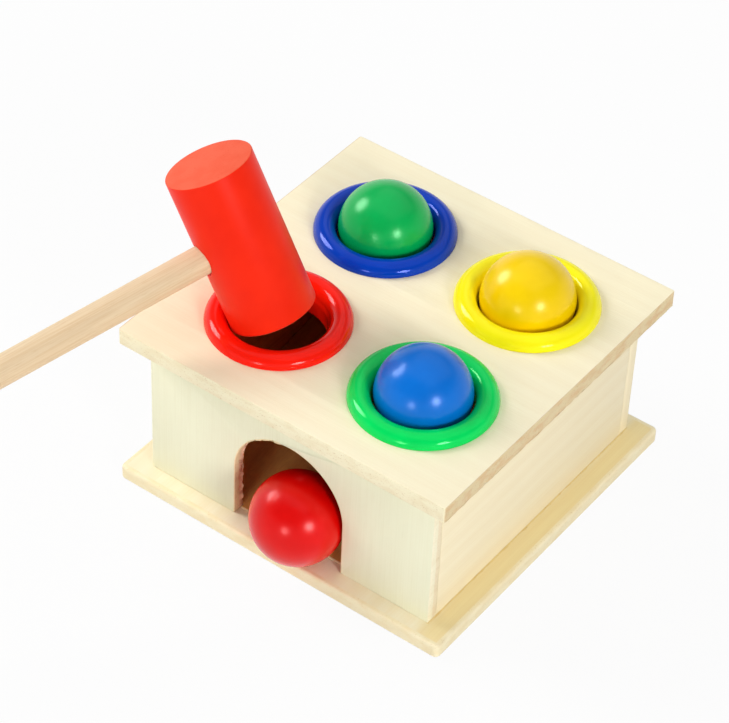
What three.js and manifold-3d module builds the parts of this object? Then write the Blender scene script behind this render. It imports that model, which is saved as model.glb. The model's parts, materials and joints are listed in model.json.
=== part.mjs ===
// Pounding bench: a wooden box with four plastic rings in its lid, four balls that are knocked
// through them, a ramp that brings the balls to an arch in the front, and a small hammer.
// Millimetres, +Z up. The origin is the middle of the base plate's underside. The arch faces -Y.
import * as THREE from 'three';
import { mergeVertices } from 'three/addons/utils/BufferGeometryUtils.js';
import Module from 'manifold-3d';

const wasm = await Module();
wasm.setup();

// Balls
const BALL_DIAMETER = 32;
const BALL_REST_GAP = 0.3;
const BALL_FLOOR_GAP = 0.2;

// Rings, measured from the lid's upper face
const GRIP_CLEARANCE = 0.1;
const GRIP_DEPTH = 0.6;
const RING_SLEEVE_WALL = 3.9;
const RING_SLEEVE_BELOW_LID = 2;
const RING_SLEEVE_CHAMFER = 0.5;
const RING_MOUTH_FLARE = 0.5;
const RING_BEAD_OVERHANG = 4.4;
const RING_BEAD_HEIGHT = 4;
const RING_HOLE_CLEARANCE = 0.3;
const RING_GAP = 9.2;
const RING_GRID_SHIFT = 1.5;
const RING_TO_SIDE_WALL = 3.75;
const RING_TO_END_WALL = 4.75;

// Box
const WALL_THICKNESS = 4.5;
const LID_THICKNESS = 6;
const LID_OVERHANG_SIDE = 7.75;
const LID_OVERHANG_END = 6.75;
const LID_CORNER_RADIUS = 0.8;
const LID_EDGE_RADIUS = 0.5;
const BASE_THICKNESS = 5.5;
const BASE_OVERHANG_SIDE = 8.75;
const BASE_OVERHANG_END = 6.75;
const BASE_CORNER_RADIUS = 2;
const BASE_EDGE_RADIUS = 0.9;
const GLUE_LINE = 0.05;

// Arch in the front wall
const ARCH_SIDE_ROOM = 12;
const ARCH_HEAD_ROOM = 11;
const ARCH_RAIL = 13;
const ARCH_BALL_GAP = 0.7;

// Ramp
const RAMP_THICKNESS = 3;
const RAMP_SLOPE = THREE.MathUtils.degToRad(10);
const RAMP_TIP_HEIGHT = 0.5;
const RAMP_TIP_SETBACK = 3;
const RAMP_CLEARANCE = 0.3;
const CLEAT_THICKNESS = 8;

// Brads that hold the base to the walls
const BRAD_LENGTH = 18;
const BRAD_DIAMETER = 1.2;
const BRAD_HEAD_DIAMETER = 2.2;
const BRAD_HEAD_HEIGHT = 0.8;
const BRAD_CLEARANCE = 0.15;
const BRAD_RECESS = 0.4;
const BRAD_FROM_CORNER = 20;

// Hammer
const HEAD_DIAMETER = 29.5;
const HEAD_LENGTH = 56;
const HEAD_CHAMFER = 0.4;
const HANDLE_DIAMETER = 10;
const HANDLE_REACH = 165;
const HANDLE_END_RADIUS = 2;
const SOCKET_DEPTH = 20;
const SOCKET_CLEARANCE = 0.15;
const HEAD_LEAN = THREE.MathUtils.degToRad(25.83);
const HEAD_LEAN_HEADING = THREE.MathUtils.degToRad(-171.68);
const HANDLE_TWIST = THREE.MathUtils.degToRad(55.3);
const TOE_DEPTH = 1.58;
const TOE_CLEARANCE = 1.7;
const HEAD_SIDE_STEP = 1.74;

// Facets
const RING_SIDES = 36;
const BALL_SIDES = 36;
const BALL_BANDS = 14;
const HEAD_SIDES = 40;
const HANDLE_SIDES = 20;
const BRAD_SIDES = 10;
const CORNER_STEPS = 3;
const ARCH_STEPS = 12;
const EDGE_STEPS = 2;
const BEAD_STEPS = 5;

// A cutting tool runs past the face by this much, and a round edge takes at most this share of a board.
const HOLE_OVERRUN = 1;
const EDGE_SHARE = 0.45;

// Sizes that follow from the ones above
const ballRadius = BALL_DIAMETER / 2;
const gripRadius = ballRadius + GRIP_CLEARANCE;
const mouthRadius = gripRadius + RING_MOUTH_FLARE;
const sleeveRadius = gripRadius + RING_SLEEVE_WALL;
const beadRadius = sleeveRadius + RING_BEAD_OVERHANG;
const sleeveLength = LID_THICKNESS + RING_SLEEVE_BELOW_LID;
const ringHalfPitch = RING_GAP / 2 + beadRadius;

const innerWidth = 2 * (ringHalfPitch + sleeveRadius + RING_TO_SIDE_WALL);
const innerDepth = 2 * (ringHalfPitch + sleeveRadius + RING_TO_END_WALL);
const boxWidth = innerWidth + 2 * WALL_THICKNESS;
const boxDepth = innerDepth + 2 * WALL_THICKNESS;
const lidWidth = boxWidth + 2 * LID_OVERHANG_SIDE;
const lidDepth = boxDepth + 2 * LID_OVERHANG_END;
const baseWidth = boxWidth + 2 * BASE_OVERHANG_SIDE;
const baseDepth = boxDepth + 2 * BASE_OVERHANG_END;

const archWidth = BALL_DIAMETER + ARCH_SIDE_ROOM;
const archHeight = BALL_DIAMETER + ARCH_HEAD_ROOM;
const wallHeight = archHeight + ARCH_RAIL;
const wallBottom = BASE_THICKNESS + GLUE_LINE;
const lidBottom = wallBottom + wallHeight + GLUE_LINE;
const lidTop = lidBottom + LID_THICKNESS;

const rampFloor = BASE_THICKNESS + GLUE_LINE;
const rampTipY = -boxDepth / 2 + RAMP_TIP_SETBACK;
const rampTipZ = rampFloor + RAMP_TIP_HEIGHT;
const rampBackY = innerDepth / 2 - RAMP_CLEARANCE;

const headRadius = HEAD_DIAMETER / 2;
const handleRadius = HANDLE_DIAMETER / 2;

const bench = new THREE.Group();

function material(color, roughness) {
  return new THREE.MeshStandardMaterial({ color, roughness, metalness: 0 });
}

function addPiece(parent, name, geometry, finish) {
  const piece = new THREE.Mesh(geometry, finish);
  piece.name = name;
  parent.add(piece);
  return piece;
}

// A closed geometry as a solid for cutting and joining, with only its positions kept.
function toSolid(geometry) {
  const bare = geometry.clone();
  bare.deleteAttribute('normal');
  bare.deleteAttribute('uv');
  const merged = mergeVertices(bare);
  const mesh = new wasm.Mesh({
    numProp: 3,
    vertProperties: Float32Array.from(merged.attributes.position.array),
    triVerts: Uint32Array.from(merged.index.array),
  });
  return new wasm.Manifold(mesh);
}

function toGeometry(solid) {
  const mesh = solid.getMesh();
  const geometry = new THREE.BufferGeometry();
  geometry.setAttribute('position', new THREE.BufferAttribute(mesh.vertProperties, 3));
  geometry.setIndex(new THREE.BufferAttribute(mesh.triVerts, 1));
  geometry.computeVertexNormals();
  return geometry;
}

function cut(geometry, tools) {
  let solid = toSolid(geometry);
  for (const tool of tools) {
    solid = solid.subtract(toSolid(tool));
  }
  return toGeometry(solid);
}

// A board lying flat from z = 0 to its thickness, with round corners and round edges.
function roundedBoard(width, depth, thickness, cornerRadius, edgeRadius) {
  const edge = Math.min(edgeRadius, EDGE_SHARE * thickness, 2 * EDGE_SHARE * cornerRadius);
  const x = width / 2 - edge;
  const y = depth / 2 - edge;
  const radius = cornerRadius - edge;
  const outline = new THREE.Shape();
  outline.absarc(x - radius, y - radius, radius, 0, Math.PI / 2);
  outline.absarc(-x + radius, y - radius, radius, Math.PI / 2, Math.PI);
  outline.absarc(-x + radius, -y + radius, radius, Math.PI, 1.5 * Math.PI);
  outline.absarc(x - radius, -y + radius, radius, 1.5 * Math.PI, 2 * Math.PI);
  const board = new THREE.ExtrudeGeometry(outline, {
    depth: thickness - 2 * edge,
    bevelThickness: edge,
    bevelSize: edge,
    bevelSegments: EDGE_STEPS,
    curveSegments: CORNER_STEPS,
  });
  return board.translate(0, 0, edge);
}

function uprightCylinder(radius, bottom, top, sides) {
  const length = top - bottom;
  return new THREE.CylinderGeometry(radius, radius, length, sides)
    .rotateX(Math.PI / 2)
    .translate(0, 0, bottom + length / 2);
}

// A strip across the box: its outline, in [y, z], runs along X for the width, centred.
function acrossBox(outline, width) {
  return new THREE.ExtrudeGeometry(outline, { depth: width, bevelEnabled: false })
    .rotateX(Math.PI / 2)
    .rotateZ(Math.PI / 2)
    .translate(-width / 2, 0, 0);
}

// A turned piece: the profile is [radius, height] points in the order that faces outwards.
function turned(profile, sides) {
  const points = profile.map(([radius, height]) => new THREE.Vector2(radius, height));
  return new THREE.LatheGeometry(points, sides).rotateX(Math.PI / 2);
}

// Ring centres in the lid, by ring colour
const ringCentres = {
  blue: [RING_GRID_SHIFT - ringHalfPitch, ringHalfPitch],
  yellow: [RING_GRID_SHIFT + ringHalfPitch, ringHalfPitch],
  green: [RING_GRID_SHIFT + ringHalfPitch, -ringHalfPitch],
  red: [RING_GRID_SHIFT - ringHalfPitch, -ringHalfPitch],
};

// Brad places: two under each wall, in the middle of its thickness
const sideWallX = (boxWidth - WALL_THICKNESS) / 2;
const endWallY = (boxDepth - WALL_THICKNESS) / 2;
const endBradX = boxWidth / 2 - BRAD_FROM_CORNER;
const sideBradY = boxDepth / 2 - BRAD_FROM_CORNER;
const bradPlaces = {
  front: [[-endBradX, -endWallY], [endBradX, -endWallY]],
  right: [[sideWallX, -sideBradY], [sideWallX, sideBradY]],
  back: [[endBradX, endWallY], [-endBradX, endWallY]],
  left: [[-sideWallX, sideBradY], [-sideWallX, -sideBradY]],
};

function bradBores([x, y]) {
  const shank = BRAD_DIAMETER / 2 + BRAD_CLEARANCE;
  const head = BRAD_HEAD_DIAMETER / 2 + BRAD_CLEARANCE;
  const headTop = BRAD_RECESS + BRAD_HEAD_HEIGHT + BRAD_CLEARANCE;
  const top = BRAD_RECESS + BRAD_LENGTH + BRAD_CLEARANCE;
  return [
    uprightCylinder(shank, -HOLE_OVERRUN, top, BRAD_SIDES).translate(x, y, 0),
    uprightCylinder(head, -HOLE_OVERRUN, headTop, BRAD_SIDES).translate(x, y, 0),
  ];
}

const paleWood = material('#f3e8cb', 0.6);
const sideWood = material('#ece0bd', 0.62);
const footWood = material('#efe2b9', 0.6);
const rampWood = material('#c9b58a', 0.7);
const brightSteel = material('#9a9c9e', 0.35);
brightSteel.metalness = 1;

// Base plate with the brad holes from below
const baseBoard = roundedBoard(baseWidth, baseDepth, BASE_THICKNESS, BASE_CORNER_RADIUS, BASE_EDGE_RADIUS);
const baseBores = Object.values(bradPlaces).flat().flatMap(bradBores);
addPiece(bench, 'base_plate', cut(baseBoard, baseBores), footWood);

// Front and back walls cover the ends of the side walls. The arch is open at the bottom.
function endWall(withArch) {
  const outline = new THREE.Shape();
  outline.moveTo(-boxWidth / 2, 0);
  if (withArch) {
    const archRadius = archWidth / 2;
    outline.lineTo(-archRadius, 0);
    outline.absarc(0, archHeight - archRadius, archRadius, Math.PI, 0, true);
    outline.lineTo(archRadius, 0);
  }
  outline.lineTo(boxWidth / 2, 0);
  outline.lineTo(boxWidth / 2, wallHeight);
  outline.lineTo(-boxWidth / 2, wallHeight);
  outline.closePath();
  const options = { depth: WALL_THICKNESS, bevelEnabled: false, curveSegments: ARCH_STEPS };
  return new THREE.ExtrudeGeometry(outline, options)
    .rotateX(Math.PI / 2)
    .translate(0, WALL_THICKNESS / 2, wallBottom);
}

const frontBoard = endWall(true).translate(0, -endWallY, 0);
addPiece(bench, 'front_wall', cut(frontBoard, bradPlaces.front.flatMap(bradBores)), paleWood);
const backBoard = endWall(false).translate(0, endWallY, 0);
addPiece(bench, 'back_wall', cut(backBoard, bradPlaces.back.flatMap(bradBores)), paleWood);

// Side walls stand between the end walls.
const sideWallLength = innerDepth - 2 * GLUE_LINE;
for (const [side, x] of [['right', sideWallX], ['left', -sideWallX]]) {
  const board = new THREE.BoxGeometry(WALL_THICKNESS, sideWallLength, wallHeight)
    .translate(x, 0, wallBottom + wallHeight / 2);
  addPiece(bench, `${side}_wall`, cut(board, bradPlaces[side].flatMap(bradBores)), sideWood);
}

// Brads, driven up through the base into the walls
const bradProfile = [
  [0, 0],
  [BRAD_HEAD_DIAMETER / 2, 0],
  [BRAD_HEAD_DIAMETER / 2, BRAD_HEAD_HEIGHT],
  [BRAD_DIAMETER / 2, BRAD_HEAD_HEIGHT],
  [BRAD_DIAMETER / 2, BRAD_LENGTH - BRAD_DIAMETER],
  [0, BRAD_LENGTH],
];
Object.values(bradPlaces).flat().forEach(([x, y], index) => {
  const brad = addPiece(bench, `base_brad_${index + 1}`, turned(bradProfile, BRAD_SIDES), brightSteel);
  brad.position.set(x, y, BRAD_RECESS);
});

// Ramp: a thin board from the arch up to the back wall. Its front underside is planed flat on the
// base, and a tongue as wide as the arch reaches out between the jambs.
function rampTop(y) {
  return rampTipZ + (y - rampTipY) * Math.tan(RAMP_SLOPE);
}

const rampUnderDrop = RAMP_THICKNESS / Math.cos(RAMP_SLOPE);

function rampStrip(width, frontY) {
  const footY = rampTipY + (rampUnderDrop - RAMP_TIP_HEIGHT) / Math.tan(RAMP_SLOPE);
  const outline = new THREE.Shape();
  outline.moveTo(frontY, rampFloor);
  outline.lineTo(footY, rampFloor);
  outline.lineTo(rampBackY, rampTop(rampBackY) - rampUnderDrop);
  outline.lineTo(rampBackY, rampTop(rampBackY));
  outline.lineTo(frontY, rampTop(frontY));
  outline.closePath();
  return acrossBox(outline, width);
}

const rampWidth = innerWidth - 2 * RAMP_CLEARANCE;
const rampFrontY = -innerDepth / 2 + RAMP_CLEARANCE;
const rampBoard = toSolid(rampStrip(rampWidth, rampFrontY));
const rampTongue = toSolid(rampStrip(archWidth - 2 * RAMP_CLEARANCE, rampTipY));
addPiece(bench, 'ramp_board', toGeometry(rampBoard.add(rampTongue)), rampWood);

// Cleat: a strip with a sloped top that holds the ramp's back edge up
const cleatFrontY = rampBackY - CLEAT_THICKNESS;
const cleatOutline = new THREE.Shape();
cleatOutline.moveTo(cleatFrontY, rampFloor);
cleatOutline.lineTo(rampBackY, rampFloor);
cleatOutline.lineTo(rampBackY, rampTop(rampBackY) - rampUnderDrop - RAMP_CLEARANCE);
cleatOutline.lineTo(cleatFrontY, rampTop(cleatFrontY) - rampUnderDrop - RAMP_CLEARANCE);
cleatOutline.closePath();
addPiece(bench, 'ramp_cleat', acrossBox(cleatOutline, rampWidth), rampWood);

// Lid with the four ring holes
const lidBoard = roundedBoard(lidWidth, lidDepth, LID_THICKNESS, LID_CORNER_RADIUS, LID_EDGE_RADIUS)
  .translate(0, 0, lidBottom);
const ringHoleRadius = sleeveRadius + RING_HOLE_CLEARANCE;
const ringHoles = Object.values(ringCentres).map(([x, y]) =>
  uprightCylinder(ringHoleRadius, lidBottom - HOLE_OVERRUN, lidTop + HOLE_OVERRUN, RING_SIDES)
    .translate(x, y, 0));
addPiece(bench, 'top_plate', cut(lidBoard, ringHoles), paleWood);

// Rings: a round bead on the lid, a mouth that narrows to the grip, and a sleeve through the hole
function ringProfile() {
  const beadHalfWidth = (beadRadius - mouthRadius) / 2;
  const bead = new THREE.Path();
  bead.absellipse(mouthRadius + beadHalfWidth, 0, beadHalfWidth, RING_BEAD_HEIGHT, 0, Math.PI);
  const beadPoints = bead.getPoints(BEAD_STEPS).map((point) => [point.x, point.y]);
  return [
    ...beadPoints,
    [gripRadius, -GRIP_DEPTH],
    [gripRadius, -sleeveLength + RING_SLEEVE_CHAMFER],
    [gripRadius + RING_SLEEVE_CHAMFER, -sleeveLength],
    [sleeveRadius, -sleeveLength],
    [sleeveRadius, 0],
    beadPoints[0],
  ];
}

const ringColors = { blue: '#0a3fb0', yellow: '#fff01e', green: '#00c85a', red: '#ff1a08' };
for (const [color, [x, y]] of Object.entries(ringCentres)) {
  const plastic = material(ringColors[color], 0.15);
  const ring = addPiece(bench, `${color}_ring`, turned(ringProfile(), RING_SIDES), plastic);
  ring.position.set(x, y, lidTop + GLUE_LINE);
}

// Balls: three sit on the grips of their rings, and the red one lies in the arch against the
// ramp's tip, near the right jamb.
const ballColors = { green: '#00a54b', yellow: '#ebcd00', blue: '#0069cd', red: '#eb0505' };

function addBall(color, x, y, z) {
  const sphere = new THREE.SphereGeometry(ballRadius, BALL_SIDES, BALL_BANDS).rotateX(Math.PI / 2);
  const ball = addPiece(bench, `${color}_ball`, sphere, material(ballColors[color], 0.2));
  ball.position.set(x, y, z);
}

const restReach = ballRadius + BALL_REST_GAP;
const ballSeatZ = lidTop + GLUE_LINE - GRIP_DEPTH + Math.sqrt(restReach ** 2 - gripRadius ** 2);
for (const [ballColor, ringColor] of [['green', 'blue'], ['yellow', 'yellow'], ['blue', 'green']]) {
  addBall(ballColor, ...ringCentres[ringColor], ballSeatZ);
}

const floorBallZ = BASE_THICKNESS + BALL_FLOOR_GAP + ballRadius;
const floorBallY = rampTipY - Math.sqrt(restReach ** 2 - (floorBallZ - rampTipZ) ** 2);
addBall('red', archWidth / 2 - ballRadius - ARCH_BALL_GAP, floorBallY, floorBallZ);

// Hammer: in its own frame the head's axis is Z from the striking face up, and the handle runs
// along +X. The frame is turned about the head's axis, leaned, and headed to the left.
const headProfile = [
  [0, 0],
  [headRadius - HEAD_CHAMFER, 0],
  [headRadius, HEAD_CHAMFER],
  [headRadius, HEAD_LENGTH - HEAD_CHAMFER],
  [headRadius - HEAD_CHAMFER, HEAD_LENGTH],
  [0, HEAD_LENGTH],
];
const socketX = headRadius - SOCKET_DEPTH;
const socket = uprightCylinder(
  handleRadius + SOCKET_CLEARANCE, socketX - SOCKET_CLEARANCE, headRadius + HOLE_OVERRUN, HANDLE_SIDES)
  .rotateY(Math.PI / 2)
  .translate(0, 0, HEAD_LENGTH / 2);
const handleProfile = [
  [0, socketX],
  [handleRadius, socketX],
  [handleRadius, HANDLE_REACH - HANDLE_END_RADIUS],
  [handleRadius - HANDLE_END_RADIUS, HANDLE_REACH],
  [0, HANDLE_REACH],
];
const handle = turned(handleProfile, HANDLE_SIDES)
  .rotateY(Math.PI / 2)
  .translate(0, 0, HEAD_LENGTH / 2);

const twisted = new THREE.Group();
twisted.rotation.z = HANDLE_TWIST;
addPiece(twisted, 'hammer_head', cut(turned(headProfile, HEAD_SIDES), [socket]), material('#f62d14', 0.4));
addPiece(twisted, 'hammer_handle', handle, material('#e6cfa4', 0.6));
const leaned = new THREE.Group();
leaned.rotation.y = HEAD_LEAN;
leaned.add(twisted);

// The lowest point of the striking face, the toe, stands just inside the red ring's grip.
const toeForward = gripRadius - TOE_CLEARANCE - headRadius * Math.cos(HEAD_LEAN);
const faceCentre = new THREE.Vector2(toeForward, HEAD_SIDE_STEP)
  .rotateAround(new THREE.Vector2(0, 0), HEAD_LEAN_HEADING)
  .add(new THREE.Vector2(...ringCentres.red));
const faceHeight = lidTop + headRadius * Math.sin(HEAD_LEAN) - TOE_DEPTH;
const hammer = new THREE.Group();
hammer.rotation.z = HEAD_LEAN_HEADING;
hammer.position.set(faceCentre.x, faceCentre.y, faceHeight);
hammer.add(leaned);
bench.add(hammer);

export default bench;
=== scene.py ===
# %% [markdown]
# # A pounding bench, from solids to a finished toy
# A pounding bench is a small wooden box with four plastic rings in its lid. A child knocks painted
# balls through the rings with a hammer, and each ball rolls down a ramp and out of an arch in the
# front. The solid model already has every piece at its real size and place. This lesson loads it as a
# fixed frame, then makes a finer shape and a finish for each piece. The frame's box is kept, and sets
# the floor's height.

# %% Load the frame
import json
import math

import bmesh
import bpy
from mathutils import Euler, Matrix, Quaternion, Vector


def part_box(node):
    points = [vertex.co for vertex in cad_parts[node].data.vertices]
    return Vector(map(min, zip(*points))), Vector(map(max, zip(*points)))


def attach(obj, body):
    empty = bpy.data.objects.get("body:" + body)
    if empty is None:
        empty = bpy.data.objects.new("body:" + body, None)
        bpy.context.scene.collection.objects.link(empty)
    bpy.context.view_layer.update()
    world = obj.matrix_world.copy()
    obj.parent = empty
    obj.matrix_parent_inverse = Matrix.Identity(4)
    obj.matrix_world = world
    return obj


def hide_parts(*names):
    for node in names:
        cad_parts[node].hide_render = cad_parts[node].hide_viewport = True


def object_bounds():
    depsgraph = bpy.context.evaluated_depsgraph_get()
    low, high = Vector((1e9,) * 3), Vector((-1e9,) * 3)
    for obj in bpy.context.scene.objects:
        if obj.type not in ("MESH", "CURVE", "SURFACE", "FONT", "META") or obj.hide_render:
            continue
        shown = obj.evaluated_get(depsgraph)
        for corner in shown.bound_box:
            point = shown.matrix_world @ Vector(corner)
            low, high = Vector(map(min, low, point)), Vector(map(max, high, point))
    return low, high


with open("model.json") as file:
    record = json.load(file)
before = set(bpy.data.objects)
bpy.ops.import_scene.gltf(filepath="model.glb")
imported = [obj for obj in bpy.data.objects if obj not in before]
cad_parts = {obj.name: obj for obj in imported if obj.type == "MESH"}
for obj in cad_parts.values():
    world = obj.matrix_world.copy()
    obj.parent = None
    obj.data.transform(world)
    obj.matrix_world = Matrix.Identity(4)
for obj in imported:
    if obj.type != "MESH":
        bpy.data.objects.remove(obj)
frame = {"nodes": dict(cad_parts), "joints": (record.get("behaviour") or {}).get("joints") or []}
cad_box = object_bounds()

MM = 0.001


def lengths(box):
    """The sides of a box in millimetres."""
    return [round((high - low) / MM, 1) for low, high in zip(*box)]


print("frame:", len(frame["nodes"]), "nodes,", lengths(cad_box), "mm")

# %% [markdown]
# ## The camera
# The picture was taken from above the arch's right corner with a long lens, held at a slight tilt. A
# long lens keeps the box's edges almost parallel. The angles, the distance and the lens were worked out
# from the box's corners in the picture, so the camera is placed by them: it looks at a point in the
# box, and is then rolled about its own axis.

# %% Camera
CAMERA_AZIMUTH = math.radians(35.085)
CAMERA_ELEVATION = math.radians(42.426)
CAMERA_ROLL = math.radians(2.706)
CAMERA_DISTANCE = 981.86 * MM
CAMERA_TARGET = Vector((-11.34, -2.62, 40.0)) * MM
FOCAL_LENGTH_PIXELS = 2944.1
IMAGE_WIDTH_PIXELS = 729
SENSOR_WIDTH = 36.0


def toward(azimuth, elevation):
    """A unit vector: azimuth 0 points out of the arch and grows towards the right wall."""
    flat = math.cos(elevation)
    return Vector((math.sin(azimuth) * flat, -math.cos(azimuth) * flat, math.sin(elevation)))


view_from = toward(CAMERA_AZIMUTH, CAMERA_ELEVATION)
bpy.ops.object.camera_add(location=CAMERA_TARGET + view_from * CAMERA_DISTANCE)
camera = bpy.context.active_object
camera.rotation_mode = "QUATERNION"
camera.rotation_quaternion = (-view_from).to_track_quat("-Z", "Y") @ Quaternion((0, 0, 1), CAMERA_ROLL)
camera.data.sensor_width = SENSOR_WIDTH
camera.data.lens = SENSOR_WIDTH * FOCAL_LENGTH_PIXELS / IMAGE_WIDTH_PIXELS
bpy.context.scene.camera = camera
print("camera:", round(camera.data.lens, 1), "mm lens,", round(CAMERA_DISTANCE / MM), "mm away")

# %% [markdown]
# ## Light and floor
# Each ball in the picture shows three highlights: a large one from a soft box on the left, and two
# small ones from lamps in front and on the right. A highlight on a ball gives the way to its lamp, so
# these lamps stand where the balls say. A wide panel overhead lights the lid, and a pale world
# fills the shadows. The world is a white backdrop up to a ceiling that is as dim as the fill, so that
# the ceiling does not wash out the glossy colours. The white floor keeps the toy's shadow: part
# of what the eye sees of it glows at a strength of 1, the rest is lit.

# %% Lamps
LAMP_TARGET = Vector((0, 0, 40)) * MM
LAMP_DISTANCE = 3.0


def add_lamp(name, azimuth, elevation, size, watts, shape):
    """An area lamp that faces the toy."""
    way = toward(math.radians(azimuth), math.radians(elevation))
    bpy.ops.object.light_add(type="AREA", location=LAMP_TARGET + way * LAMP_DISTANCE)
    lamp = bpy.context.active_object
    lamp.name = name
    lamp.rotation_mode = "QUATERNION"
    lamp.rotation_quaternion = way.to_track_quat("Z", "Y")
    lamp.data.shape = shape
    lamp.data.size = size
    lamp.data.energy = watts
    print(name, watts, "W,", size, "m across")


add_lamp("soft_box", azimuth=-80, elevation=33, size=1.4, watts=59, shape="DISK")
add_lamp("top_panel", azimuth=180, elevation=75, size=4.6, watts=41, shape="SQUARE")
add_lamp("front_lamp", azimuth=9, elevation=9, size=0.64, watts=15.5, shape="DISK")
add_lamp("right_lamp", azimuth=65, elevation=20, size=0.85, watts=41, shape="DISK")

# %% World
WHITE = (1, 1, 1, 1)
WORLD_FILL = 0.26
BACKDROP_TOP = 0.25
CEILING = 0.5


def put(tree, kind, inputs, **settings):
    """Adds a shader node. A socket among the inputs is linked, and a plain value is set."""
    made = tree.nodes.new("ShaderNode" + kind)
    for name, value in settings.items():
        setattr(made, name, value)
    for name, value in inputs.items():
        if isinstance(value, bpy.types.NodeSocket):
            tree.links.new(value, made.inputs[name])
        else:
            made.inputs[name].default_value = value
    return made


def calc(tree, operation, first, second=0.0):
    return put(tree, "Math", {0: first, 1: second}, operation=operation).outputs[0]


def seen_by_eye(tree):
    """1 for what is seen straight, in a reflection or through glass, and 0 for light that fills."""
    path = put(tree, "LightPath", {}).outputs
    straight_or_mirrored = calc(tree, "MAXIMUM", path["Is Camera Ray"], path["Is Glossy Ray"])
    return calc(tree, "MAXIMUM", straight_or_mirrored, path["Is Transmission Ray"])


world = bpy.data.worlds.new("pale_room")
bpy.context.scene.world = world
world.use_nodes = True
tree = world.node_tree
tree.nodes.clear()
fill = put(tree, "Background", {"Color": WHITE, "Strength": WORLD_FILL}).outputs[0]
white = put(tree, "Background", {"Color": WHITE, "Strength": 1.0}).outputs[0]
direction = put(tree, "TexCoord", {}).outputs["Generated"]
way_up = put(tree, "SeparateXYZ", {0: direction}).outputs[2]
heights = {"Value": way_up, "From Min": CEILING, "From Max": BACKDROP_TOP}
backdrop = put(tree, "MapRange", heights).outputs[0]
backdrop_share = calc(tree, "MULTIPLY", seen_by_eye(tree), backdrop)
shown = put(tree, "MixShader", {0: backdrop_share, 1: fill, 2: white}).outputs[0]
put(tree, "OutputWorld", {"Surface": shown})
bpy.context.scene.view_settings.view_transform = "Standard"
print("world:", world.name, "with a fill of", WORLD_FILL)

# %% Floor
FLOOR_SIZE = 12.0
FLOOR_GAP = 0.1 * MM
FLOOR_GLOW = 0.93
FLOOR_WHITE = (0.76, 0.76, 0.76, 1)


def object_mode():
    bpy.ops.object.mode_set(mode="OBJECT")


def deselect_all():
    if bpy.context.mode != "OBJECT":
        object_mode()
    bpy.ops.object.select_all(action="DESELECT")


def new_material(piece, name):
    """An empty node material on a piece, in place of any that it has."""
    made = bpy.data.materials.new(name)
    made.use_nodes = True
    made.node_tree.nodes.clear()
    piece.data.materials.clear()
    piece.data.materials.append(made)
    print("material:", name, "on", piece.name)
    return made.node_tree


deselect_all()
bpy.ops.mesh.primitive_plane_add(size=FLOOR_SIZE, location=(0, 0, cad_box[0].z - FLOOR_GAP))
floor = bpy.context.active_object
floor.name = "floor"
tree = new_material(floor, "white_floor")
lit = put(tree, "BsdfDiffuse", {"Color": FLOOR_WHITE}).outputs[0]
glow = put(tree, "Emission", {"Color": WHITE, "Strength": 1.0}).outputs[0]
glow_share = calc(tree, "MULTIPLY", seen_by_eye(tree), FLOOR_GLOW)
shown = put(tree, "MixShader", {0: glow_share, 1: lit, 2: glow}).outputs[0]
put(tree, "OutputMaterial", {"Surface": shown})

# %% [markdown]
# ## A wood grain that every board shares
# Pale basswood shows wide soft bands from its growth rings, fine fibres a few centimetres long, and
# tiny pores. Each of them is a noise or a wave that is stretched along the grain, so one group can hold
# them all. A board gives the group its own two colours and strengths, and turns its coordinates so that
# X runs along its grain. Sizes are in millimetres. Every finish gives a colour, a roughness and a
# height.

# %% Shader helpers
FINISH_OUTPUTS = {"Color": "Color", "Roughness": "Float", "Height": "Float"}


def mix_colours(tree, share, first, second):
    return put(tree, "Mix", {0: share, 6: first, 7: second}, data_type="RGBA").outputs[2]


def rise(tree, value, start, end):
    """0 before start, 1 after end, and smooth in between."""
    limits = {"Value": value, "From Min": start, "From Max": end}
    return put(tree, "MapRange", limits, interpolation_type="SMOOTHSTEP").outputs[0]


def noise(tree, vector, sizes, detail=2.0):
    """A noise whose spots measure about these millimetres along X, Y and Z."""
    scaled = put(tree, "Mapping", {"Vector": vector, "Scale": [1 / size for size in sizes]}).outputs[0]
    return put(tree, "TexNoise", {"Vector": scaled, "Scale": 1.0, "Detail": detail}).outputs[0]


def start_group(name, inputs):
    """A shader node group with named sockets. Gives its tree, and what comes in and goes out."""
    group = bpy.data.node_groups.new(name, "ShaderNodeTree")
    kinds = {float: "NodeSocketFloat", tuple: "NodeSocketColor", Vector: "NodeSocketVector"}
    for socket, value in inputs.items():
        made = group.interface.new_socket(socket, in_out="INPUT", socket_type=kinds[type(value)])
        made.default_value = value
    for socket, kind in FINISH_OUTPUTS.items():
        group.interface.new_socket(socket, in_out="OUTPUT", socket_type="NodeSocket" + kind)
    return group, group.nodes.new("NodeGroupInput").outputs, group.nodes.new("NodeGroupOutput").inputs


def end_group(group, result, *finish):
    """Sends a colour, a roughness and a height out of the group."""
    for name, value in zip(FINISH_OUTPUTS, finish):
        group.links.new(value, result[name])
    print("group:", group.name, len(group.nodes), "nodes")


# %% Wood grain
PALE = (0.9, 0.8, 0.6, 1)
STREAK = (0.7, 0.55, 0.35, 1)
GRAIN_INPUTS = {"Vector": Vector(), "Pale": PALE, "Streak": STREAK, "Figure": 0.3, "Fibre": 0.3}
BAND_STRETCH = (0.07, 1.0, 1.0)
BANDS = {"Scale": 0.045, "Distortion": 5.0, "Detail": 2.0, "Detail Scale": 0.6}
FIBRE_SIZE = (22, 0.5, 0.5)
FIBRE_LEVELS = (0.32, 0.72)
FIBRE_HEIGHT = 0.4
FIBRE_ROUGH = 0.16
PORE_SIZE = (4.5, 0.22, 0.22)
PORE_LEVELS = (0.64, 0.78)
TONE_SIZE = (90, 22, 22)
TONE_SHIFT = 0.5
WOOD_ROUGH = 0.5

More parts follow.
